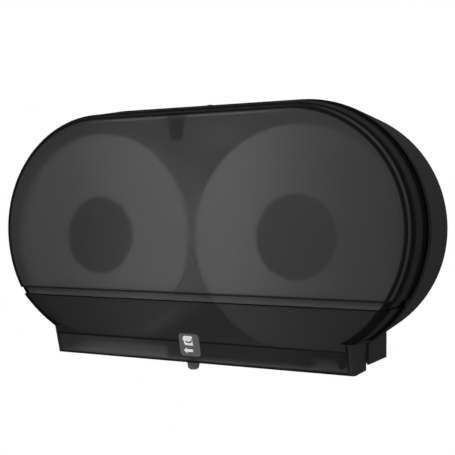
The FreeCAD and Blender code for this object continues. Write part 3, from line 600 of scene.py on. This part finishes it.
def smoke_plastic():
    """Smoke plastic: see-through with a milky veil when faced, near black where it turns away."""
    material, tree, output = new_material("smoke_plastic")
    skin_share = by_height(tree, SKIN_COLUMN)
    body = mix_shaders(tree, skin_share, hazy_clearness(tree), milky_skin(tree))
    turned = add_node(tree, "LayerWeight")
    turned.inputs["Blend"].default_value = TURNED_BLEND
    away = ramp(tree, turned.outputs["Facing"], 0, 1, *TURNED_REACH)
    edge_share = calculate(tree, "MAXIMUM", away, border_mask(tree))
    link(tree, mix_shaders(tree, edge_share, body, dark_edge(tree)), output.inputs["Surface"])
    return material


def on_join(corners):
    """True for an inner face where two sections of the cover meet."""
    for axis, place in COVER_JOINS:
        if all(abs(corner[axis] - place) < JOIN_REACH for corner in corners):
            return True
    return False


def cover_skin():
    """The cover's points, faces and corner normals, without the faces where sections meet."""
    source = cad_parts["front_cover"].data
    normals = [tuple(entry.vector) for entry in source.corner_normals]
    places, index, faces, kept = [], {}, [], []
    for polygon in source.polygons:
        corners = [tuple(source.vertices[vertex].co) for vertex in polygon.vertices]
        if on_join(corners):
            continue
        face = []
        for corner in corners:
            key = tuple(round(value / WELD_REACH) for value in corner)
            if key not in index:
                index[key] = len(places)
                places.append(corner)
            face.append(index[key])
        if len(set(face)) == len(face):
            faces.append(face)
            kept.extend(normals[loop] for loop in polygon.loop_indices)
    return places, faces, kept


def whole_cover(material):
    """The cover as one skin, in place of the CAD's sections."""
    places, faces, normals = cover_skin()
    mesh = bpy.data.meshes.new("smoke_cover")
    mesh.from_pydata(places, [], faces)
    mesh.polygons.foreach_set("use_smooth", [True] * len(faces))
    mesh.normals_split_custom_set(normals)
    mesh.materials.append(material)
    piece = place_object("smoke_cover", mesh)
    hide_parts("front_cover")
    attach(piece, "cover")


def middle_of(name):
    """The middle of a CAD node's box."""
    low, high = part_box(name)
    return (Vector(low) + Vector(high)) / 2


def arc(across, up, half_width, half_height, start, end):
    """Points along an ellipse's arc, with its angles in degrees."""
    points = []
    for step in range(ARC_STEPS + 1):
        turn = math.radians(start + (end - start) * step / ARC_STEPS)
        points.append((across + half_width * math.cos(turn), up + half_height * math.sin(turn)))
    return points


def badge_point(x, y, height):
    """A place on the badge: right, up and outward from its middle, in millimetres."""
    right = Vector((1, 0, 0))
    up = Vector((0, -math.sin(APRON_LEAN), math.cos(APRON_LEAN)))
    out = Vector((0, -math.cos(APRON_LEAN), -math.sin(APRON_LEAN)))
    face = middle_of("instruction_badge") + out * PLATE_HALF * MM
    return face + (right * x + up * y + out * height) * MM


def printed(name, outline, material):
    """A thin raised print with the given outline, on the badge."""
    grid = bmesh.new()
    top = [grid.verts.new(badge_point(x, y, INK_HEIGHT)) for x, y in outline]
    low = [grid.verts.new(badge_point(x, y, -INK_DEPTH)) for x, y in outline]
    grid.faces.new(top)
    grid.faces.new(low[::-1])
    for index in range(len(outline)):
        after = (index + 1) % len(outline)
        grid.faces.new((top[index], low[index], low[after], top[after]))
    bmesh.ops.recalc_face_normals(grid, faces=grid.faces)
    bmesh.ops.triangulate(grid, faces=grid.faces)
    mesh = bpy.data.meshes.new(name)
    grid.to_mesh(mesh)
    grid.free()
    mesh.materials.append(material)
    piece = place_object(name, mesh)
    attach(piece, "cover")


def arrow_outline():
    """An arrow to the left, with a round end."""
    head_low, head_high = ARROW_MIDDLE - ARROW_HEAD_HALF, ARROW_MIDDLE + ARROW_HEAD_HALF
    low, high = ARROW_MIDDLE - ARROW_SHAFT_HALF, ARROW_MIDDLE + ARROW_SHAFT_HALF
    front = [(ARROW_TIP, ARROW_MIDDLE), (ARROW_NECK, head_high), (ARROW_NECK, high)]
    end = arc(ARROW_END, ARROW_MIDDLE, ARROW_END_ROUND, ARROW_SHAFT_HALF, 90, -90)
    return front + end + [(ARROW_NECK, low), (ARROW_NECK, head_low)]


def roll_outline():
    """A roll of paper seen from its side."""
    return arc(*ROLL_LEFT_END) + arc(*ROLL_RIGHT_END) + arc(*ROLL_UNDERSIDE)


def sheet_outline():
    """The roll's loose end."""
    return [SHEET_TOP, *arc(*SHEET_CURL), *SHEET_CORNERS]


def badge_symbols(material):
    """A generic roll of paper with its loose end, and an arrow to the left."""
    printed("arrow_symbol", arrow_outline(), material)
    printed("roll_symbol", roll_outline(), material)
    printed("sheet_symbol", sheet_outline(), material)


def dress(material, names):
    """Gives CAD nodes a material."""
    for name in names:
        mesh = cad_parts[name].data
        mesh.materials.clear()
        mesh.materials.append(material)


def dress_plastics():
    """Gives the moulded nodes their plastics."""
    for name, (dark, light, roughness, nodes) in PLASTICS.items():
        dress(moulded_plastic(name, dark, light, roughness), nodes)


def dress_steels():
    """Gives the metal nodes their steels."""
    for name, (dark, light, nodes) in STEELS.items():
        dress(steel(name, dark, light), nodes)


def dress_rolls():
    """Gives each roll's paper and core their rings, about the roll's own middle."""
    for side in ("left", "right"):
        centre = middle_of(f"{side}_paper")
        for kind, node, dark, light, half_ring, relief in WOUND_ROLLS:
            material = wound_paper(f"{side}_{kind}", centre, dark, light, half_ring, relief)
            dress(material, [f"{side}_{node}"])


def add_lamp(name, place, aim, size, power):
    """A soft square lamp at a place, turned to a target."""
    lamp = bpy.data.lights.new(name, "AREA")
    lamp.shape = "SQUARE"
    lamp.size = size
    lamp.energy = power
    holder = place_object(name, lamp)
    holder.location = place
    holder.rotation_euler = (Vector(aim) - Vector(place)).to_track_quat("-Z", "Y").to_euler()


def white_light(tree, strength):
    """An even white light from all round."""
    node = add_node(tree, "Background")
    node.inputs["Color"].default_value = (1, 1, 1, 1)
    node.inputs["Strength"].default_value = strength
    return node.outputs["Background"]


def set_world():
    """Soft light all round, and a white background where it is seen, mirrored or looked through."""
    world = bpy.data.worlds.new("studio")
    bpy.context.scene.world = world
    world.use_nodes = True
    tree = world.node_tree
    tree.nodes.clear()
    output = add_node(tree, "OutputWorld")
    path = add_node(tree, "LightPath")
    seen = calculate(tree, "MAXIMUM", path.outputs["Is Camera Ray"], path.outputs["Is Glossy Ray"])
    seen = calculate(tree, "MAXIMUM", seen, path.outputs["Is Transmission Ray"])
    both = mix_shaders(tree, seen, white_light(tree, SOFT_LIGHT),
                       white_light(tree, WHITE_BACKGROUND))
    link(tree, both, output.inputs["Surface"])


def floor_material():
    """Pale matt floor with faint clouds."""
    material, tree, output = new_material("studio_floor")
    shader = principled(tree, FLOOR_LIGHT, FLOOR_ROUGHNESS)
    clouds = noise(tree, FLOOR_CLOUDS)
    link(tree, either(tree, clouds, FLOOR_DARK, FLOOR_LIGHT), shader.inputs["Base Color"])
    link(tree, shader.outputs["BSDF"], output.inputs["Surface"])
    return material


def add_floor():
    """A pale square floor."""
    sides = ((-1, -1), (1, -1), (1, 1), (-1, 1))
    corners = [(FLOOR_HALF * x, FLOOR_HALF * y, FLOOR_HEIGHT) for x, y in sides]
    mesh = bpy.data.meshes.new("studio_floor")
    mesh.from_pydata(corners, [], [range(len(corners))])
    mesh.materials.append(floor_material())
    floor = place_object("studio_floor", mesh)


def add_camera():
    """The photograph's camera."""
    camera = bpy.data.cameras.new("camera")
    camera.lens = FOCAL_LENGTH
    camera.sensor_width = SENSOR_WIDTH
    camera.clip_start = NEAREST
    holder = place_object("camera", camera)
    holder.location = CAMERA_PLACE
    holder.rotation_euler = Euler([math.radians(turn) for turn in CAMERA_TURN])
    bpy.context.scene.camera = holder


bpy.context.scene.view_settings.view_transform = "Standard"
set_world()
add_floor()
add_camera()
for lamp_settings in LAMPS:
    add_lamp(*lamp_settings)
whole_cover(smoke_plastic())
dress_plastics()
dress_steels()
dress_rolls()
badge_symbols(white_ink())
